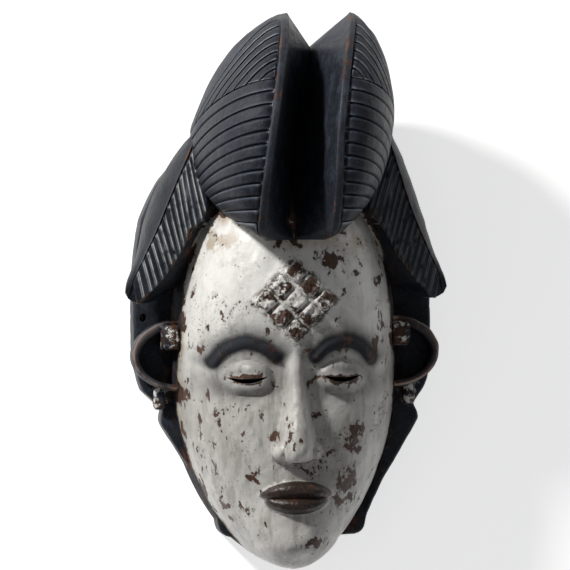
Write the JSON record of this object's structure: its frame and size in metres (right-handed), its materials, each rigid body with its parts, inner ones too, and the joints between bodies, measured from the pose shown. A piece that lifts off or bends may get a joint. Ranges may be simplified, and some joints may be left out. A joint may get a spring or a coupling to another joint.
{
  "type": "carved face mask",
  "caption": "Hollow carved wooden face mask with a split hair crest, grooved side tresses, open loop ears and a raised lozenge on the forehead, lying face up on its back rim.",
  "frame": {"origin": "centre of the flat back rim the mask lies on, under the middle of its bounding box", "axes": "+X across the face to the right as seen from the front, +Y from the chin to the hair crest, +Z out of the face, up from the floor"},
  "size_m": [0.1854, 0.32, 0.137],
  "materials": {
    "painted_wood": "carved wood with a worn white mineral coat on the face and a satin black coat on the hair, bare brown wood inside"
  },
  "bodies": {
    "root": {"mask": "painted_wood"}
  },
  "joints": []
}
